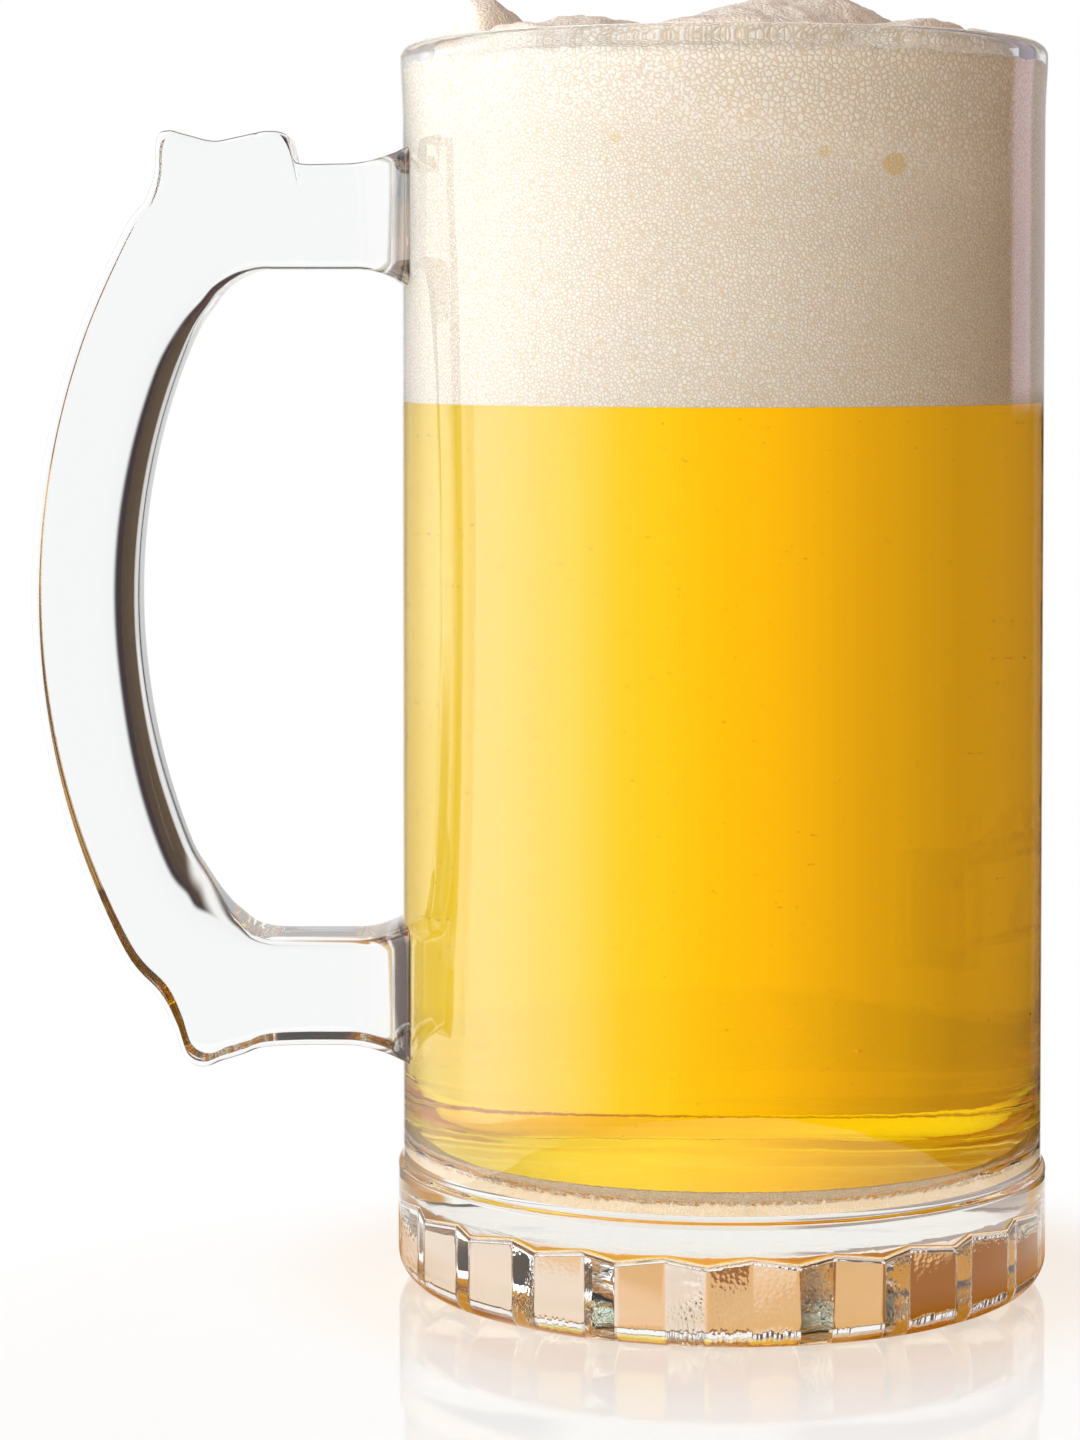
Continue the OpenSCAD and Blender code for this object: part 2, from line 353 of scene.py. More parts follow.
def handle_ring(rail):
    """A rounded rectangle across the arm or grip, spread where it nears the wall."""
    x, z, px, pz = rail
    away = max(0.0, min(1.0, (-x - BODY_R) / FOOT_L))
    flare = FOOT_FLARE * (1 - away) ** 2
    outer, palm = np.array([x, z]), np.array([px, pz])
    length = np.linalg.norm(palm - outer)
    along = (palm - outer) / length
    depth, half_w = length + 2 * flare, HANDLE_W / 2 + flare
    start = outer - flare * along
    finger, top = finger_edge(pz), outer_edge(x, z)
    corners = [
        (depth - finger, half_w - finger, finger, 0),
        (top, half_w - top, top, 90),
        (top, top - half_w, top, 180),
        (depth - finger, finger - half_w, finger, 270),
    ]
    flat = []
    for i, (cx, cy, r, a) in enumerate(corners):
        run = arc(cx, cy, r, a, a + 90, CORNER_STEPS + 1)
        nx, ny, nr, na = corners[(i + 1) % len(corners)]
        following = arc(nx, ny, nr, na, na, 1)[0]
        flat += run + line(run[-1], following, FLAT_STEPS)[:-1]
    return np.array([[start[0] + q * along[0], y, start[1] + q * along[1]] for q, y in flat])


def to_wall(ring, depth, amount):
    """Moves a ring's points along X onto the wall's curve, at a depth inside it."""
    moved = ring.copy()
    bow = BODY_R - np.sqrt(np.maximum((BODY_R - depth) ** 2 - ring[:, 1] ** 2, 0))
    moved[:, 0] += amount * bow
    return moved


def cap(ring):
    """Rings that close an end on the wall's curve, drawn in towards the ring's middle."""
    middle = ring[:, 2].mean()
    inner = []
    for share in (0.75, 0.5, 0.25, 0.08):
        r = ring.copy()
        r[:, 1] *= share
        r[:, 2] = middle + (ring[:, 2] - middle) * share
        r[:, 0] = -np.sqrt((BODY_R - SINK) ** 2 - r[:, 1] ** 2)
        inner.append(r)
    return inner + [np.array([[SINK - BODY_R, 0, middle]])]


def handle_rings():
    rails = handle_rails()
    rings = [to_wall(handle_ring(rail), 0, fade(-rail[0], BODY_R + FOOT_L, BODY_R)) for rail in rails]
    first, final = handle_ring(rails[0]), handle_ring(rails[-1])
    rings = [to_wall(first, SINK, 1), to_wall(first, SINK / 2, 1)] + rings
    rings += [to_wall(final, SINK / 2, 1), to_wall(final, SINK, 1)]
    return list(reversed(cap(rings[0]))) + rings + cap(rings[-1])


handle = tube("mug_handle", handle_rings())

# Beer

WET = 0.05  # how far the beer runs into the glass, so that no gap shows between them
BEER_R = INNER_R + WET
BEER_TURNS = 256


def beer_profile():
    profile = [(r, floor_height(r) - WET) for r in [0] + FLOOR_RADII]
    profile += arc(INNER_R - FLOOR_CORNER, FLOOR_Z + FLOOR_CORNER, FLOOR_CORNER + WET, -90, 0, 12)
    profile += line((BEER_R, FLOOR_Z + FLOOR_CORNER), (BEER_R, BEER_Z - EDGE_STEP), 16)
    return profile + [(r, BEER_Z) for r in (BEER_R, BEER_R - EDGE_STEP, 35, 30, 20, 10, 2, 0)]


beer = tube("beer_fill", turned(beer_profile(), BEER_TURNS))

# Foam

FOAM_R = BEER_R + 0.02
FOAM_Z = BEER_Z - 0.06
FOAM_SIDE_TOP = 150.5
FOAM_LEVEL = 153.2
FOAM_TURNS, FOAM_RINGS = 420, 135
RING_CROWDING = 1.15  # above 1, the rings lie closer together towards the wall
MIDDLE_R = 0.3  # radius of the innermost ring
# Over this width along the wall the foam sinks by this much
RIM_W, RIM_DROP = 4.5, 1.4
MOUNDS = [  # x, y, radius, height above the level foam
    (-30.2, -8, 6.6, 6.1), (-17, -9, 12.5, 3.8), (6, -6, 15.5, 6.3), (11.5, -4, 12.5, 6.1),
    (30, -6, 7, 2.6), (-5, 15, 18, 4.8), (22, 17, 13, 4.3), (-20, 18, 13, 4.0),
    (0, -24, 15, 2.9), (-26, -20, 8, 2.6), (24, -20, 10, 3.0),
]
# Unevenness: the height of each kind, its steps to the millimetre and where its pattern starts
SWELL = 0.55, 0.16, (3.1, 7.7, 0)
RIPPLE = 0.28, 0.45, (9.4, 1.2, 0)
PITS = 0.30, 0.62, (5.5, 2.2, 0)
FINE_PITS = 0.13, 1.5, (1.5, 8.2, 0)


def mound_height(x, y):
    """The mounds' joint height, so that each runs smoothly into the next."""
    total = 0.0
    for mx, my, mr, mh in MOUNDS:
        d = ((x - mx) ** 2 + (y - my) ** 2) / (mr * mr)
        if d < 1:
            total += (mh * (1 - d) ** 0.75) ** 4
    return total ** 0.25


def wave(x, y, kind):
    height, scale, start = kind
    return height * noise.noise(Vector((x, y, 0)) * scale + Vector(start))


def pits(x, y, kind):
    height, scale, start = kind
    return height * (0.45 - noise.voronoi(Vector((x, y, 0)) * scale + Vector(start))[0][0])


def foam_height(x, y):
    rim = fade(math.hypot(x, y), FOAM_R, FOAM_R - RIM_W)
    z = FOAM_LEVEL + (mound_height(x, y) + wave(x, y, SWELL)) * rim - RIM_DROP * (1 - rim)
    z += wave(x, y, RIPPLE) + pits(x, y, PITS) + pits(x, y, FINE_PITS)
    return min(z, FOAM_TOP - 0.02)


def foam_rings():
    """Up the wall from the beer, then in over the top, with the rings closest together near the wall."""
    profile = [(r, FOAM_Z) for r in (0, 8, 20, 30, FOAM_R - EDGE_STEP, FOAM_R)]
    heights = [FOAM_Z + EDGE_STEP] + list(np.linspace(BEER_Z + 3, FOAM_SIDE_TOP, 22))
    profile += [(FOAM_R, z) for z in heights]
    rings = turned(profile, FOAM_TURNS)
    inward = np.linspace(0.012, 1, FOAM_RINGS) ** RING_CROWDING * (FOAM_R - MIDDLE_R)
    for r in [FOAM_R, FOAM_R - 0.1] + list(FOAM_R - inward):
        spots = [(r * c, r * s) for c, s in zip(*circle(FOAM_TURNS))]
        rings.append(np.array([[x, y, foam_height(x, y)] for x, y in spots]))
    return rings + [np.array([[0, 0, foam_height(0, 0)]])]


foam = tube("foam_head_soft", foam_rings())

# Small bubbles in the beer, close to the wall

BUBBLES = 1500
BUBBLE_RADII = (0.06, 0.07, 0.08, 0.1, 0.13)
# How far the bubbles keep from the wall, the cup's floor and the foam
BUBBLE_GAP, BUBBLE_LOW, BUBBLE_HIGH = 0.1, 4, 1


def ball():
    """Points and faces of a coarse ball with a radius of 1."""
    bm = bmesh.new()
    bmesh.ops.create_icosphere(bm, subdivisions=1, radius=1)
    points = np.array([v.co[:] for v in bm.verts])
    faces = [tuple(v.index for v in f.verts) for f in bm.faces]
    bm.free()
    return points, faces


def bubbles(name):
    """One object of many small balls, a few more of them high in the beer than low."""
    random.seed(11)
    ball_points, ball_faces = ball()
    low, high = FLOOR_Z + BUBBLE_LOW, BEER_Z - BUBBLE_HIGH
    points, faces = [], []
    for i in range(BUBBLES):
        a = random.uniform(0, 2 * math.pi)
        z = low + (high - low) * random.random() ** 0.8
        r = random.choice(BUBBLE_RADII)
        out = INNER_R - r - BUBBLE_GAP
        faces += [tuple(len(points) + k for k in f) for f in ball_faces]
        points.extend(ball_points * r + np.array([out * math.cos(a), out * math.sin(a), z]))
    return make_mesh(name, points, faces)


beer_bubbles = bubbles("beer_bubbles")

# Froth film in the cup's corner

# The film's ends and the stretch over which each thins out, in degrees round the cup
FROTH_FROM, FROTH_TO, FROTH_END, FROTH_RINGS = -206, 26, 34, 700
# Its stretch of the corner's arc, in degrees, and the share of that which is left at its ends
FROTH_LOW, FROTH_HIGH, FROTH_ROWS, END_SHARE = -93, -38, 24, 0.30
FROTH_INSET = 0.075  # how far it runs into the glass at half its width
FROTH_SINK = 0.75  # how much further its lower part does, past the mirroring corner
FROTH_DEEPEST = 0.8  # the most that it goes below the cup's floor
FROTH_THIN, FROTH_THICK = 0.05, 0.26
GRAIN_OUT = 0.12  # how far its grains stand out
# Its length to a degree round the cup, and its width, for the size of the grains
DEGREE_L, FROTH_W = 0.64, 4.5


def froth_point(depth, angle):
    """A point of the corner's arc at a depth on the cup's side of it, kept from sinking too far."""
    c, s = direction(angle)
    q = FLOOR_CORNER - depth
    return INNER_R - FLOOR_CORNER + q * c, max(FLOOR_Z + FLOOR_CORNER + q * s, FLOOR_Z - FROTH_DEEPEST)


def froth_loop(azimuth):
    """The film's outer points upwards, then its inner ones downwards, at one azimuth."""
    full = fade(min(azimuth - FROTH_FROM, FROTH_TO - azimuth), 0, FROTH_END)
    outer, inner = [], []
    for share in np.linspace(0, 1, FROTH_ROWS):
        angle = FROTH_LOW + (FROTH_HIGH - FROTH_LOW) * (END_SHARE + (1 - END_SHARE) * full) * share
        p = Vector((azimuth * DEGREE_L, share * FROTH_W, 0))
        grain = 0.5 + 0.9 * noise.noise(p * 1.6) + 0.6 * (0.5 - noise.voronoi(p * 3.4)[0][0])
        grain = max(0.0, grain)
        swell = FROTH_THICK * grain * math.sin(math.pi * share) ** 0.5 if share < 1 else 0.0
        thick = (FROTH_THIN + swell) * (0.15 + 0.85 * full)
        # Towards its top and its ends the film draws back from the glass, and only its grains still reach it
        hide = 0.22 * fade(share, 0.42, 0.92) + 0.10 * (1 - full)
        skin = -FROTH_INSET - FROTH_SINK * fade(share, 0.50, 0.10) + max(0.0, hide - GRAIN_OUT * grain)
        outer.append(froth_point(skin, angle))
        inner.append(froth_point(skin + thick, angle))
    return outer + list(reversed(inner))


def froth_rings():
    """Round the front of the cup's floor, thinning out at both ends."""
    rings = []
    for azimuth in np.linspace(FROTH_FROM, FROTH_TO, FROTH_RINGS):
        c, s = direction(azimuth)
        rings.append(np.array([[r * c, r * s, z] for r, z in froth_loop(azimuth)]))
    return [rings[0].mean(0, keepdims=True)] + rings + [rings[-1].mean(0, keepdims=True)]


bottom_froth = tube("bottom_froth", froth_rings())

# Materials

WHITE = (1.0, 1.0, 1.0)
BLACK = (0.0, 0.0, 0.0)


class Graph:
    """Builds a node material or a world step by step."""

    def __init__(self, name, world=False):
        self.world = world
        self.host = (bpy.data.worlds if world else bpy.data.materials).new(name)
        self.host.use_nodes = True
        self.tree = self.host.node_tree
        self.tree.nodes.clear()

    def add(self, kind, **values):
        """A node with its own settings, or its inputs, set by name."""
        node = self.tree.nodes.new(kind)
        for key, value in values.items():
            if hasattr(node, key):
                setattr(node, key, value)
            else:
                node.inputs[key.replace("_", " ")].default_value = value
        return node

    def link(self, a, b):
        self.tree.links.new(a, b)

    def value(self, socket, source):
        """Links another node's output to a socket, or sets the socket to a number or colour."""
        if hasattr(source, "is_output"):
            self.link(source, socket)
        else:
            socket.default_value = source

    def math(self, operation, a, b=0.0):
        node = self.add("ShaderNodeMath", operation=operation)
        self.value(node.inputs[0], a)
        self.value(node.inputs[1], b)
        return node.outputs[0]

    def product(self, first, *others):
        for other in others:
            first = self.math("MULTIPLY", first, other)
        return first

    def length(self, a, b):
        """Distance from the origin of a point in a plane."""
        return self.math("SQRT", self.math("ADD", self.product(a, a), self.product(b, b)))

    def mix(self, factor, a, b, blend="MIX"):
        node = self.add("ShaderNodeMix", data_type="RGBA", blend_type=blend)
        self.value(node.inputs["Factor"], factor)
        for name, source in (("A", a), ("B", b)):
            socket = [s for s in node.inputs if s.name == name and s.type == "RGBA"][0]
            self.value(socket, source if hasattr(source, "is_output") else (*source, 1.0))
        return [s for s in node.outputs if s.type == "RGBA"][0]

    def ramp(self, source, stops):
        """A colour from stops of a position and a colour."""
        node = self.tree.nodes.new("ShaderNodeValToRGB")
        elements = node.color_ramp.elements
        while len(elements) > 1:
            elements.remove(elements[-1])
        for i, (position, colour) in enumerate(stops):
            element = elements[0] if i == 0 else elements.new(position)
            element.position = position
            element.color = (*colour, 1.0)
        self.value(node.inputs[0], source)
        return node.outputs[0]

    def step(self, source, low, high):
        """Smooth share of the way from low to high."""
        node = self.add("ShaderNodeMapRange", interpolation_type="SMOOTHSTEP", From_Min=low, From_Max=high)
        self.value(node.inputs["Value"], source)
        return node.outputs[0]

    def step_mm(self, source, low, high):
        return self.step(source, low * MM, high * MM)

    def place(self, output="Object"):
        """Coordinates, in metres, and their X, Y and Z."""
        node = self.add("ShaderNodeTexCoord")
        split = self.add("ShaderNodeSeparateXYZ")
        self.link(node.outputs[output], split.inputs[0])
        return node.outputs[output], *split.outputs

    def noise(self, vector, scale, detail=2.0, roughness=0.5):
        node = self.add("ShaderNodeTexNoise", Scale=scale, Detail=detail, Roughness=roughness)
        self.link(vector, node.inputs["Vector"])
        return node.outputs[0]

    def cells(self, vector, scale, feature="DISTANCE_TO_EDGE"):
        node = self.add("ShaderNodeTexVoronoi", feature=feature, Scale=scale)
        self.link(vector, node.inputs["Vector"])
        return node.outputs["Distance"]

    def bump(self, height, distance, strength, normal=None):
        node = self.add("ShaderNodeBump", Strength=strength, Distance=distance)
        self.link(height, node.inputs["Height"])
        if normal is not None:
            self.link(normal, node.inputs["Normal"])
        return node.outputs[0]

    def surface(self, source, volume=None):
        out = self.add("ShaderNodeOutputWorld" if self.world else "ShaderNodeOutputMaterial")
        self.link(source, out.inputs["Surface"])
        if volume is not None:
            self.link(volume, out.inputs["Volume"])
        return self.host


def glass_material(name, rough_recess):
    g = Graph(name)
    at, x, y, z = g.place()
    shader = g.add("ShaderNodeBsdfPrincipled", Transmission_Weight=1.0, IOR=1.52, Base_Color=(*WHITE, 1.0))
    # A pressed surface is never quite even
    normal = g.bump(g.noise(at, 90.0), 0.00005, 0.5)
    rough = g.product(g.step(g.noise(at, 160.0, 4.0, 0.6), 0.62, 0.8), 0.03)
    if rough_recess:
        # The flutes' own walls are grainy in patches, and rippled all over
        radius = g.length(x, y)
        under = g.product(
            g.step_mm(z, RECESS_H + 0.5, RECESS_H - 0.3),
            g.step_mm(radius, RIDGE_R - 0.9, RIDGE_R - 0.4),
            g.step_mm(radius, TIP_R + 0.7, TIP_R + 0.1),
        )
        patch = g.product(under, g.step(g.noise(at, 110.0, 1.0), 0.42, 0.6))
        normal = g.bump(g.product(g.cells(at, 1900.0, "F1"), patch), 0.00007, 0.6, normal)
        normal = g.bump(g.product(g.noise(at, 260.0), under), 0.00012, 0.4, normal)
    g.link(rough, shader.inputs["Roughness"])
    g.link(normal, shader.inputs["Normal"])
    body = g.add("ShaderNodeVolumeAbsorption", Color=(0.78, 0.90, 0.86, 1.0), Density=5.0)
    return g.surface(shader.outputs[0], body.outputs[0])


def beer_material():
    g = Graph("golden_beer")
    at = g.place()[0]
    shader = g.add(
        "ShaderNodeBsdfPrincipled", Transmission_Weight=1.0, IOR=1.333, Roughness=0.0,
        Specular_IOR_Level=0.0, Base_Color=(*WHITE, 1.0),
    )
    g.link(g.bump(g.noise(at, 260.0, 3.0), 0.00004, 0.4), shader.inputs["Normal"])
    body = g.add("ShaderNodeVolumeAbsorption", Color=(1.0, 0.925, 0.0, 1.0), Density=92.0)
    return g.surface(shader.outputs[0], body.outputs[0])


# Yellowish spots where a large bubble has burst: x, z and radius in millimetres, and strength
SPOTS = [(17.9, 138.2, 1.5, 0.7), (9.8, 139.5, 0.8, 0.4), (-13.6, 141.2, 0.7, 0.4)]
CREAM, TAN, CELL_WALL = (0.985, 0.965, 0.925), (0.95, 0.90, 0.80), (0.70, 0.57, 0.40)
# Painted shade for the foam's top, and the yellow of burst bubbles
PAINTED_TOP_SHADE, BURST = (0.66, 0.58, 0.53), (0.78, 0.62, 0.27)


def foam_material():
    g = Graph("cream_foam")
    at, x, y, z = g.place()
    shader = g.add(
        "ShaderNodeBsdfPrincipled", Roughness=0.42, IOR=1.33, Subsurface_Weight=0.4,
        Subsurface_Radius=(1.0, 0.75, 0.5), Subsurface_Scale=2 * MM,
    )
    broad = g.noise(at, 45.0, 3.0)
    base = g.mix(g.product(g.step(broad, 0.35, 0.75), 0.35), CREAM, TAN)
    # Cells of small bubbles, coarser towards the top and the right
    share = g.math("ADD", g.step_mm(z, 126, 152), g.product(g.step_mm(x, -20, 30), 0.5))
    share = g.step(g.math("ADD", share, g.product(broad, 0.8)), 1.0, 1.6)
    small = g.product(g.cells(at, 2100.0), g.math("SUBTRACT", 1.0, share))
    cell = g.math("ADD", small, g.product(g.cells(at, 1500.0), share))
    base = g.mix(g.product(g.step(cell, 0.18, 0.02), 0.62), base, CELL_WALL)
    # Above the lip the foam is painted darker and duller: painted shade on the foam's top
    base = g.mix(g.product(g.step_mm(z, FOAM_LEVEL - 0.2, FOAM_LEVEL + 2.3), 0.85), base, PAINTED_TOP_SHADE)
    for spot_x, spot_z, size, strength in SPOTS:
        away = g.length(g.math("SUBTRACT", x, spot_x * MM), g.math("SUBTRACT", z, spot_z * MM))
        spot = g.product(g.step_mm(away, size, size * 0.75), g.step_mm(y, 0, -10), strength)
        base = g.mix(spot, base, BURST)
    g.link(base, shader.inputs["Base Color"])
    g.link(g.bump(g.math("MINIMUM", cell, 0.3), 0.0005, 0.8), shader.inputs["Normal"])
    return g.surface(shader.outputs[0])


def bubble_material():
    g = Graph("bubble_skin")
    at = g.place()[0]
    shader = g.add(
        "ShaderNodeBsdfPrincipled", Transmission_Weight=1.0, IOR=1.12, Base_Color=(0.95, 0.85, 0.6, 1.0)
    )
    g.link(g.product(g.noise(at, 900.0), 0.1), shader.inputs["Roughness"])
    return g.surface(shader.outputs[0])


def froth_material():
    g = Graph("pale_froth")
    at = g.place()[0]
    shader = g.add("ShaderNodeBsdfPrincipled", Roughness=0.4, IOR=1.33)
    cell = g.cells(at, 2600.0)
    base = g.mix(g.step(g.noise(at, 180.0, 3.0), 0.4, 0.65), (0.97, 0.88, 0.76), (0.94, 0.81, 0.63))
    g.link(g.mix(g.step(cell, 0.14, 0.02), base, (0.80, 0.66, 0.46)), shader.inputs["Base Color"])
    g.link(g.bump(g.math("MINIMUM", cell, 0.3), 0.0004, 0.8), shader.inputs["Normal"])
    return g.surface(shader.outputs[0])


def give(ob, material, slot, *nodes):
    ob.data.materials.append(material)
    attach(ob, ROOT)
    if nodes:
        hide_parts(*nodes)


give(glass_body, glass_material("pressed_glass_body", True), "body_glass", "glass_body")
give(handle, glass_material("pressed_glass_handle", False), "handle_glass", "handle")
give(beer, beer_material(), "beer", "beer")
give(foam, foam_material(), "foam", "foam_head")
give(beer_bubbles, bubble_material(), "beer")
give(bottom_froth, froth_material(), "foam")

# Stage, light and camera

# The round of the table that holds the shadow and the reflection, in metres.
# Between these shares of its radius it fades to plain white.
TABLE_R, TABLE_Y, TABLE_Z = 0.125, -0.055, -0.00005
FADE_FROM_SHARE, FADE_TO_SHARE = 0.6, 0.94
SHADOW_SHARE = 0.22  # how much of the table's white is light that the object can shade
MATT = (0.26, 0.26, 0.26)  # what the table reflects of the studio's light, to come to that share

# Ambers that the glass under the beer shows: light in the studio, and painted light on the table; the pale,
# grey and dark are painted light and shade on the table
BASE_AMBER, TABLE_AMBER, FAR_AMBER = (0.80, 0.36, 0.04), (0.62, 0.28, 0.04), (0.42, 0.17, 0.015)
FLUTE_AMBER, DEEP_AMBER = (0.60, 0.27, 0.03), (0.40, 0.15, 0.01)
PALE, GREY, DARK = (1.0, 0.97, 0.96), (0.46, 0.40, 0.38), (0.06, 0.055, 0.05)

# What each kind of ray sees of the studio, by azimuth in degrees from the back, positive to the right

# Straight through clear glass: white, with a dark card at the left back for the handle's dark line
THROUGH = [
    (-180, 0.88), (-60, 0.88), (-52, 0.7), (-48, (0.068, 0.052, 0.055)), (-20, (0.062, 0.046, 0.050)),
    (-18.5, 0.6), (-17, 0.98), (-4, 1.02), (60, 1.02), (95, 0.88), (180, 0.88),
]
# Through the beer, whose curve turns the studio round: bright from the right, dim and warm from the left
GOLDEN = [
    (-180, 0.9), (-95, 0.8), (-65, (0.52, 0.33, 0.27)), (-38, (0.57, 0.36, 0.30)),
    (-27, (0.60, 0.41, 0.33)), (-21, (0.60, 0.42, 0.33)), (-16, (0.67, 0.50, 0.40)),
    (-9, (0.83, 0.63, 0.50)), (-4, (1.02, 0.82, 0.70)), (-1.5, (1.13, 0.92, 0.80)),
    (0.5, (1.16, 0.98, 0.90)), (3, (1.17, 1.05, 1.0)), (5, (1.2, 1.11, 1.05)), (7, (1.2, 1.19, 1.15)),
    (12, 1.2), (15, 1.17), (18, 1.09), (22, 1.0), (27, 0.93), (60, 0.95), (180, 0.9),
]
# Mirrored inside the glass
INNER = [
    (-180, 0.05), (-140, 0.08), (-120, 1.0), (-100, 1.6), (-75, 1.8), (-64, 0.9), (-56, (0.34, 0.28, 0.27)),
    (-8, (0.34, 0.27, 0.25)), (-4, 0.95), (20, 1.0), (28, 0.12), (75, 0.08), (180, 0.05),
]
# The handle's mirror image on the wall is seen level, and has to be as light as the wall beside it
LEVEL = [
    (-180, 0.05), (-140, 0.08), (-120, 1.0), (-100, 1.6), (-75, 1.9), (-55, 1.75), (-48, 1.5), (-41, 1.0),
    (-30, 0.7), (-20, 0.9), (20, 1.0), (28, 0.12), (75, 0.08), (180, 0.05),
]
# Light that runs round inside the base comes from above
RISING = [
    (-180, 0.06), (-125, 0.07), (-112, DEEP_AMBER), (-64, FLUTE_AMBER), (-60, (0.5, 0.42, 0.40)),
    (-8, (0.46, 0.39, 0.38)), (-4, 1.0), (47, 1.0), (51, FLUTE_AMBER), (98, DEEP_AMBER), (110, 0.07),
    (180, 0.06),
]
# Mirrored on the outside
GLOSS = [
    (-180, 0.03), (-165, 0.10), (-150, 0.3), (-135, 0.75), (-112, 1.9), (-92, 2.8), (-64, 2.2), (-55, 1.9),
    (-48, 1.55), (-41, 1.0), (-36, 0.75), (-26, 0.5), (-16, 0.35), (-10, 0.95), (-8, 1.0), (12, 1.0),
    (18, 0.02), (180, 0.03),
]
# One more softbox at the right, above the horizon, mirrored as a pale strip on the wall
STRIP = [
    (-180, 0.0), (13, 0.0), (19, 0.55), (40, 0.60), (42.5, (1.3, 1.1, 1.4)), (57, (1.3, 1.1, 1.4)),
    (60, 0.0),
]
# Scattered in the foam: the light falls from the left and the front
SOFT = [
    (-180, (2.1, 1.65, 1.15)), (-165, (3.1, 2.8, 2.35)), (-145, (4.2, 4.2, 4.1)), (-125, 4.4),
    (-100, 3.8), (-80, (1.8, 1.75, 1.7)), (-40, (1.0, 0.9, 0.8)), (0, (0.9, 0.78, 0.62)),
    (60, (1.0, 0.74, 0.56)), (90, (0.52, 0.28, 0.16)), (155, (0.46, 0.24, 0.13)), (180, (2.1, 1.65, 1.15)),
]


def azimuth(g, x, y):
    """Azimuth as a share of a turn: 0.25 is the left, 0.5 the back and 0.75 the right."""
    return g.math("ADD", g.math("DIVIDE", g.math("ARCTAN2", x, y), 2 * math.pi), 0.5)


def round_ramp(g, turn, stops):
    """A colour by azimuth, from stops in degrees and a colour or a brightness."""
    return g.ramp(turn, [(a / 360 + 0.5, v if isinstance(v, tuple) else (v, v, v)) for a, v in stops])


Rays = namedtuple("Rays", "camera crossed inside bounced many scattered filled")


def ray_kinds(g):
    """What kind of ray is looking, each kind as 0 or 1, by the surfaces that it has met."""
    path = g.add("ShaderNodeLightPath").outputs
    crossed = path["Transmission Depth"]
    mirrored = g.math("SUBTRACT", path["Ray Depth"], crossed)
    scattered = g.math("GREATER_THAN", path["Diffuse Depth"], 0.5)
    own = 0
    if g.world:
        # A world's ray depth counts the world itself, and light gathered by a matt surface has no flag there
        own = 1
        flagged = g.math("ADD", path["Is Camera Ray"], path["Is Glossy Ray"])
        flagged = g.math("ADD", flagged, path["Is Transmission Ray"])
        scattered = g.math("MAXIMUM", scattered, g.math("LESS_THAN", flagged, 0.5))
    inside = g.math("GREATER_THAN", crossed, 0.5)
    return Rays(
        camera=path["Is Camera Ray"],
        crossed=crossed,
        inside=inside,
        bounced=g.math("GREATER_THAN", mirrored, own + 0.5),
        # Mirrored more than four times inside the glass, as in the flutes under the beer
        many=g.product(g.math("GREATER_THAN", mirrored, own + 4.5), inside),
        scattered=scattered,
        # The way through the wall, the beer and the wall again crosses six surfaces
        filled=g.math("GREATER_THAN", crossed, 4.5),
    )


def studio_world():
    g = Graph("studio", world=True)
    x, y, z = g.place("Generated")[1:]
    rays, turn = ray_kinds(g), azimuth(g, x, y)
    slope = g.math("ABSOLUTE", z)
    through = round_ramp(g, turn, THROUGH)
    # The card ends below, and what is refracted more steeply still is dark
    through = g.mix(g.step(z, -0.36, -0.50), through, (0.98, 0.98, 0.98))
    through = g.mix(g.step(slope, 0.55, 0.68), through, (0.10, 0.085, 0.08))
    inner = g.mix(g.step(slope, 0.11, 0.07), round_ramp(g, turn, INNER), round_ramp(g, turn, LEVEL))
    inner = g.mix(g.step(z, 0.07, 0.15), inner, round_ramp(g, turn, RISING))
    strip = g.mix(1.0, round_ramp(g, turn, STRIP), g.step(z, -0.023, -0.013), "MULTIPLY")
    gloss = g.mix(1.0, round_ramp(g, turn, GLOSS), strip, "ADD")
    shade = g.mix(rays.bounced, through, g.mix(rays.inside, gloss, inner))
    shade = g.mix(rays.filled, shade, round_ramp(g, turn, GOLDEN))
    # The handle adds two more surfaces; these rays rise from its outer edge through the beer
    edge = g.math("GREATER_THAN", rays.crossed, 7.5)
    edge = g.product(edge, g.step(z, -0.05, 0.0), g.step(turn, 0.64, 0.69))
    shade = g.mix(edge, shade, (0.10, 0.07, 0.05))
    shade = g.mix(rays.many, shade, BASE_AMBER, "MULTIPLY")
    shade = g.mix(rays.scattered, shade, round_ramp(g, turn, SOFT))
    # The light on the foam comes more from the sides than from above
    dimmed = g.math("SUBTRACT", 1.0, g.product(rays.scattered, 0.75, g.step(z, 0.15, 0.85)))
    shade = g.mix(1.0, shade, dimmed, "MULTIPLY")
    shade = g.mix(rays.camera, shade, WHITE)
    sky = g.add("ShaderNodeBackground", Strength=1.0)
    g.link(shade, sky.inputs["Color"])
    return g.surface(sky.outputs[0])


scene.world = studio_world()


def table_painted_beer_light(g, x, r):
    """Painted light on the table as the flutes show it, amber where the light has come through the beer."""
    warm = g.ramp(g.step_mm(r, 30, 43), [(0, (1.0, 0.66, 0.38)), (1, (1.0, 0.93, 0.84))])
    warm = g.mix(g.step_mm(x, -6, -12), warm, (1.0, 0.84, 0.69))
    warm = g.mix(g.step_mm(x, -4, 0), warm, (0.88, 0.53, 0.23))
    near = g.mix(g.step_mm(r, 43, 62), warm, WHITE)
    # The flutes at both sides look out on deeper amber, painted light on the table
    near = g.mix(g.product(g.step_mm(x, -26, -31), g.step_mm(r, 64, 56)), near, (0.62, 0.31, 0.09))
    return g.mix(g.product(g.step_mm(x, 13, 16.5), g.step_mm(r, 47, 42)), near, (0.36, 0.11, 0.0))


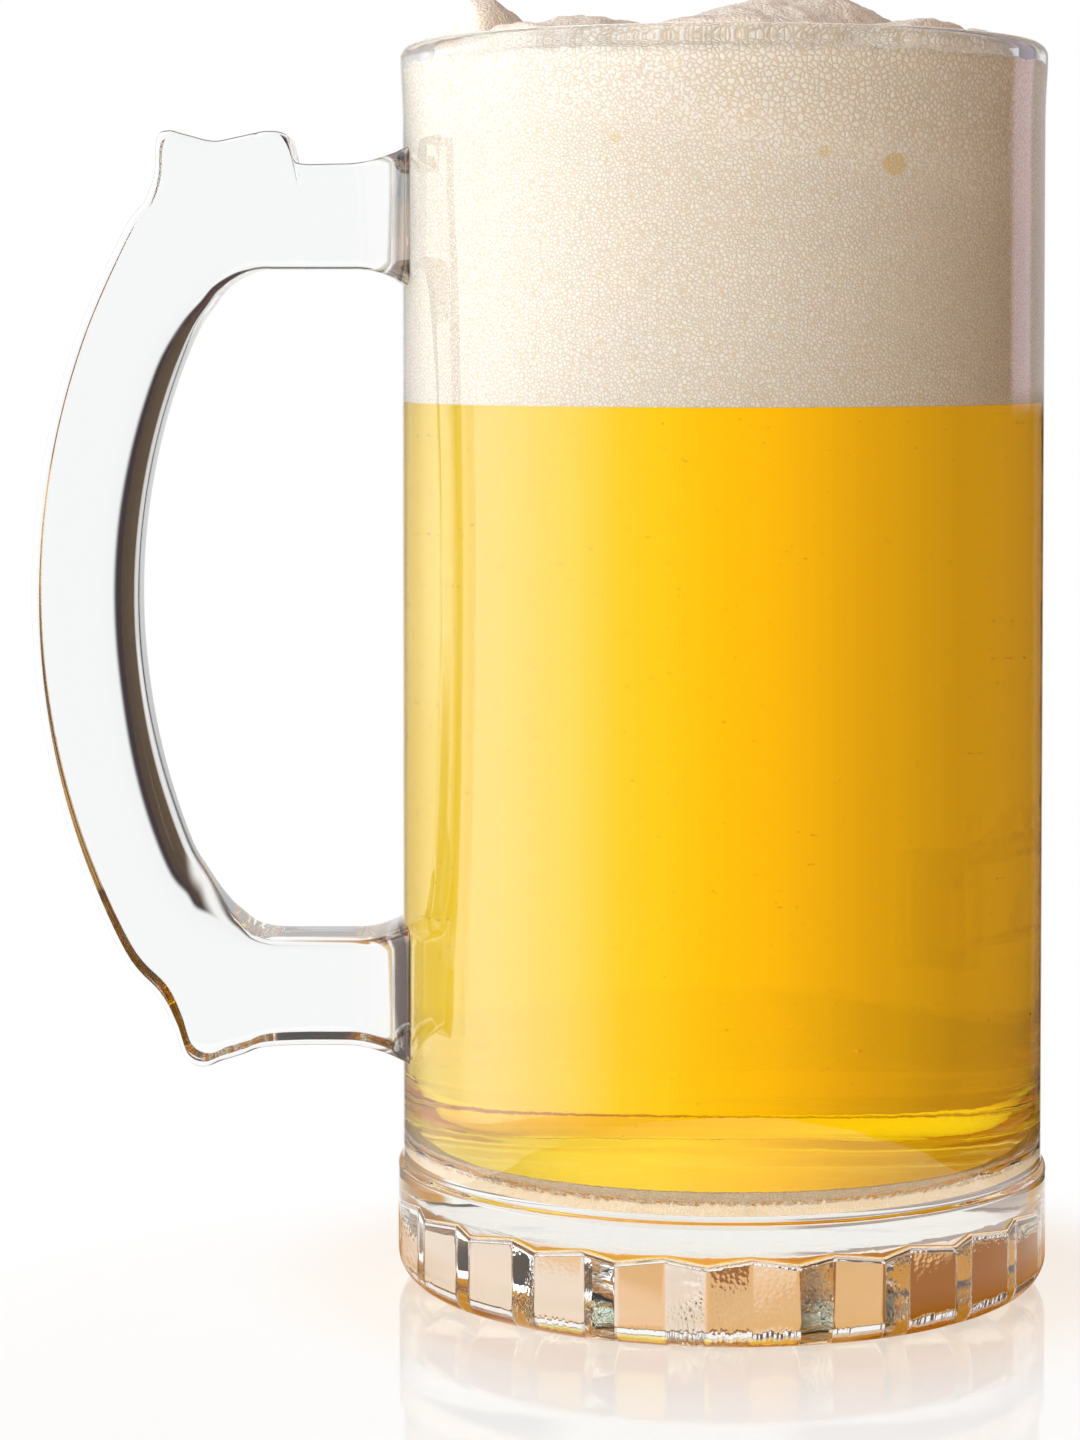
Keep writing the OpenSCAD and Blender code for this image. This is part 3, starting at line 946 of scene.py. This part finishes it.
def table_painted_reflections(g, x, r, turn):
    """Painted light and shade for rays mirrored inside the glass: amber and dark before the mug, white and
    grey behind it.
    """
    amber = g.ramp(turn, [(0.24, TABLE_AMBER), (0.32, PALE), (0.36, GREY), (0.44, GREY), (0.475, PALE),
                          (0.66, PALE), (0.74, TABLE_AMBER)])
    ahead = g.math("MAXIMUM", g.step(turn, 0.30, 0.24), g.step(turn, 0.70, 0.76))
    amber = g.mix(g.product(ahead, g.step_mm(r, 95, 110)), amber, FAR_AMBER)
    amber = g.mix(g.product(ahead, g.step_mm(x, -40, -48)), amber, DARK)
    return g.mix(g.step_mm(r, 50, 44), amber, TABLE_AMBER)


def table_colour(g, x, y, r, rays):
    turn = azimuth(g, x, y)
    # Painted light: for rays through the glass the table takes the beer's amber and gold
    seen = g.mix(g.product(rays.bounced, rays.inside), table_painted_beer_light(g, x, r), table_painted_reflections(g, x, r, turn))
    seen = g.mix(g.product(rays.filled, g.step_mm(y, 30, 38)), seen, round_ramp(g, turn, GOLDEN))
    seen = g.mix(rays.many, seen, BASE_AMBER, "MULTIPLY")
    # The camera sees white, with a warm glow painted round the mug: painted light from the beer on the table
    return g.mix(rays.camera, seen, g.mix(g.step_mm(r, 42, 64), (1.0, 0.90, 0.80), WHITE))


def floor_material():
    g = Graph("white_table")
    x, y = g.place()[1:3]
    rays, r = ray_kinds(g), g.length(x, y)
    out = g.length(x, g.math("SUBTRACT", y, TABLE_Y))
    far = g.step(out, TABLE_R * FADE_FROM_SHARE, TABLE_R * FADE_TO_SHARE)
    held = g.math("SUBTRACT", 1.0, far)
    seen = table_colour(g, x, y, r, rays)
    # The table's glow and its lit part add up to white, and further out the glow is white alone
    glow = g.add("ShaderNodeEmission")
    g.link(g.math("ADD", 1 - SHADOW_SHARE, g.product(far, SHADOW_SHARE)), glow.inputs["Strength"])
    g.link(seen, glow.inputs["Color"])
    # Only the camera sees the matt part white, since through the glass it would pale the amber
    lit = g.mix(1.0, g.mix(rays.camera, seen, WHITE), MATT, "MULTIPLY")
    matt = g.add("ShaderNodeBsdfDiffuse")
    g.link(g.mix(held, BLACK, lit), matt.inputs["Color"])
    both = g.add("ShaderNodeAddShader")
    g.link(matt.outputs[0], both.inputs[0])
    g.link(glow.outputs[0], both.inputs[1])
    # What the froth and foam see of the table: painted light, warm and brighter right round the mug
    plain = g.add("ShaderNodeEmission", Color=(1.0, 0.88, 0.74, 1.0))
    g.link(g.math("ADD", 0.85, g.product(g.step_mm(r, 80, 50), 1.7)), plain.inputs["Strength"])
    kind = g.add("ShaderNodeMixShader")
    g.link(rays.scattered, kind.inputs[0])
    g.link(both.outputs[0], kind.inputs[1])
    g.link(plain.outputs[0], kind.inputs[2])
    # A faint mirror image of the mug, which only the camera sees
    shine = g.add("ShaderNodeBsdfGlossy", Color=(*WHITE, 1.0), Roughness=0.05)
    fresnel = g.add("ShaderNodeFresnel", IOR=1.45)
    top = g.add("ShaderNodeMixShader")
    g.link(g.product(fresnel.outputs[0], g.step_mm(r, 120, 50), held, rays.camera), top.inputs[0])
    g.link(kind.outputs[0], top.inputs[1])
    g.link(shine.outputs[0], top.inputs[2])
    return g.surface(top.outputs[0])


def table_top():
    mesh = bpy.data.meshes.new("table_top")
    c, s = circle(128)
    points = np.stack([TABLE_R * c, TABLE_Y + TABLE_R * s, np.full(len(c), TABLE_Z)], 1)
    mesh.from_pydata([tuple(p) for p in points], [], [tuple(range(len(c)))])
    mesh.materials.append(floor_material())
    floor = bpy.data.objects.new("table_top", mesh)
    scene.collection.objects.link(floor)
    return floor


table_top()


def lamp(name, place, aim, size, power):
    """A rectangular area light that lights matt surfaces and isn't seen itself."""
    data = bpy.data.lights.new(name, "AREA")
    data.shape = "RECTANGLE"
    data.size, data.size_y = size
    data.energy = power
    ob = bpy.data.objects.new(name, data)
    ob.location = place
    ob.rotation_euler = (Vector(aim) - Vector(place)).to_track_quat("-Z", "Y").to_euler()
    ob.visible_glossy = False
    ob.visible_transmission = False
    ob.visible_camera = False
    scene.collection.objects.link(ob)


lamp("left_window", (-0.75, -0.45, 0.45), (0, 0, 0.09), (0.7, 0.9), 1.0)
lamp("top_fill", (0.1, -0.2, 1.1), (0, 0, 0.1), (1.0, 1.0), 0.15)

# The camera's place, tilt in degrees, lens and shift were fitted to the photo
CAMERA_PLACE, CAMERA_TILT, CAMERA_LENS, CAMERA_SHIFT = (-0.0228, -0.5, 0.119), 2.3, 99.9, -0.16
camera_data = bpy.data.cameras.new("photo_view")
camera_data.lens = CAMERA_LENS
camera_data.sensor_width = 36
camera_data.shift_y = CAMERA_SHIFT
camera = bpy.data.objects.new("photo_view", camera_data)
camera.location = CAMERA_PLACE
camera.rotation_euler = Euler((math.radians(90 - CAMERA_TILT), 0, 0))
scene.collection.objects.link(camera)
scene.camera = camera

scene.view_settings.view_transform = "Standard"
scene.cycles.max_bounces = 32
scene.cycles.transmission_bounces = 32
scene.cycles.glossy_bounces = 24
scene.cycles.diffuse_bounces = 4
